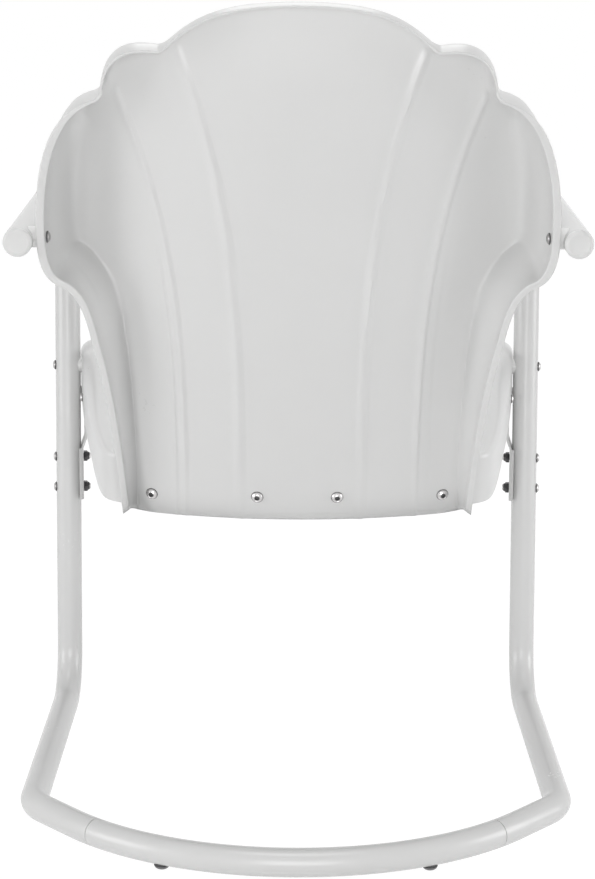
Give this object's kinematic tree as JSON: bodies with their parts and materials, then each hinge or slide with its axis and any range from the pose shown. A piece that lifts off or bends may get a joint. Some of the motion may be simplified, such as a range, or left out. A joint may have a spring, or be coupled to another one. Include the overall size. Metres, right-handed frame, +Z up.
{
  "type": "metal spring lawn chair",
  "caption": "Outdoor armchair of bent white steel tube whose cantilever side frames flex, with a pressed sheet seat and a lobed pressed sheet back bolted between them",
  "frame": {"origin": "centre of the footprint's bounding box, on the floor that the chair stands on", "axes": "+Z up; the sitter faces -Y, so the back and the rear cross tube are towards +Y; +X is the sitter's left"},
  "size_m": [0.6014, 0.726, 0.8827],
  "materials": {
    "painted_tube": "gloss",
    "painted_sheet": "gloss",
    "painted_bracket": "gloss",
    "white_plastic": "satin",
    "bright_screw": "polished",
    "zinc_steel": "satin",
    "glide_steel": "satin"
  },
  "bodies": {
    "base": {"left_runner": "painted_tube", "right_runner": "painted_tube", "left_spring_bend": "painted_tube", "right_spring_bend": "painted_tube", "rear_cross_tube": "painted_tube", "glide_screws": "glide_steel", "glide_inserts": "zinc_steel"},
    "seat_frame": {"left_front_leg": "painted_tube", "right_front_leg": "painted_tube", "left_top_bend": "painted_tube", "right_top_bend": "painted_tube", "left_arm_tube": "painted_tube", "right_arm_tube": "painted_tube", "left_arm_cap": "white_plastic", "right_arm_cap": "white_plastic", "left_arm_spacer": "white_plastic", "right_arm_spacer": "white_plastic", "left_seat_spacer": "white_plastic", "right_seat_spacer": "white_plastic", "left_seat_bracket": "painted_bracket", "right_seat_bracket": "painted_bracket", "arm_bolts": "bright_screw", "arm_inserts": "zinc_steel", "seat_pan": "painted_sheet", "back_shell": "painted_sheet", "leg_bolts": "bright_screw", "leg_washers": "zinc_steel", "leg_nuts": "zinc_steel", "bracket_bolts": "bright_screw", "bracket_nuts": "zinc_steel", "bracket_seat_screws": "bright_screw", "bracket_seat_nuts": "zinc_steel", "back_bolts": "bright_screw", "back_washers": "zinc_steel", "back_nuts": "zinc_steel"}
  },
  "joints": [
    {"name": "spring_bounce", "type": "hinge", "parent": "base", "child": "seat_frame", "pos_m": [0, -0.2183, 0.031], "axis": [-1, 0, 0], "range_deg": [-1, 5], "stiffness_Nm_per_rad": 3000, "springref_deg": -0.34, "deforming": ["left_spring_bend", "right_spring_bend"]}
  ]
}
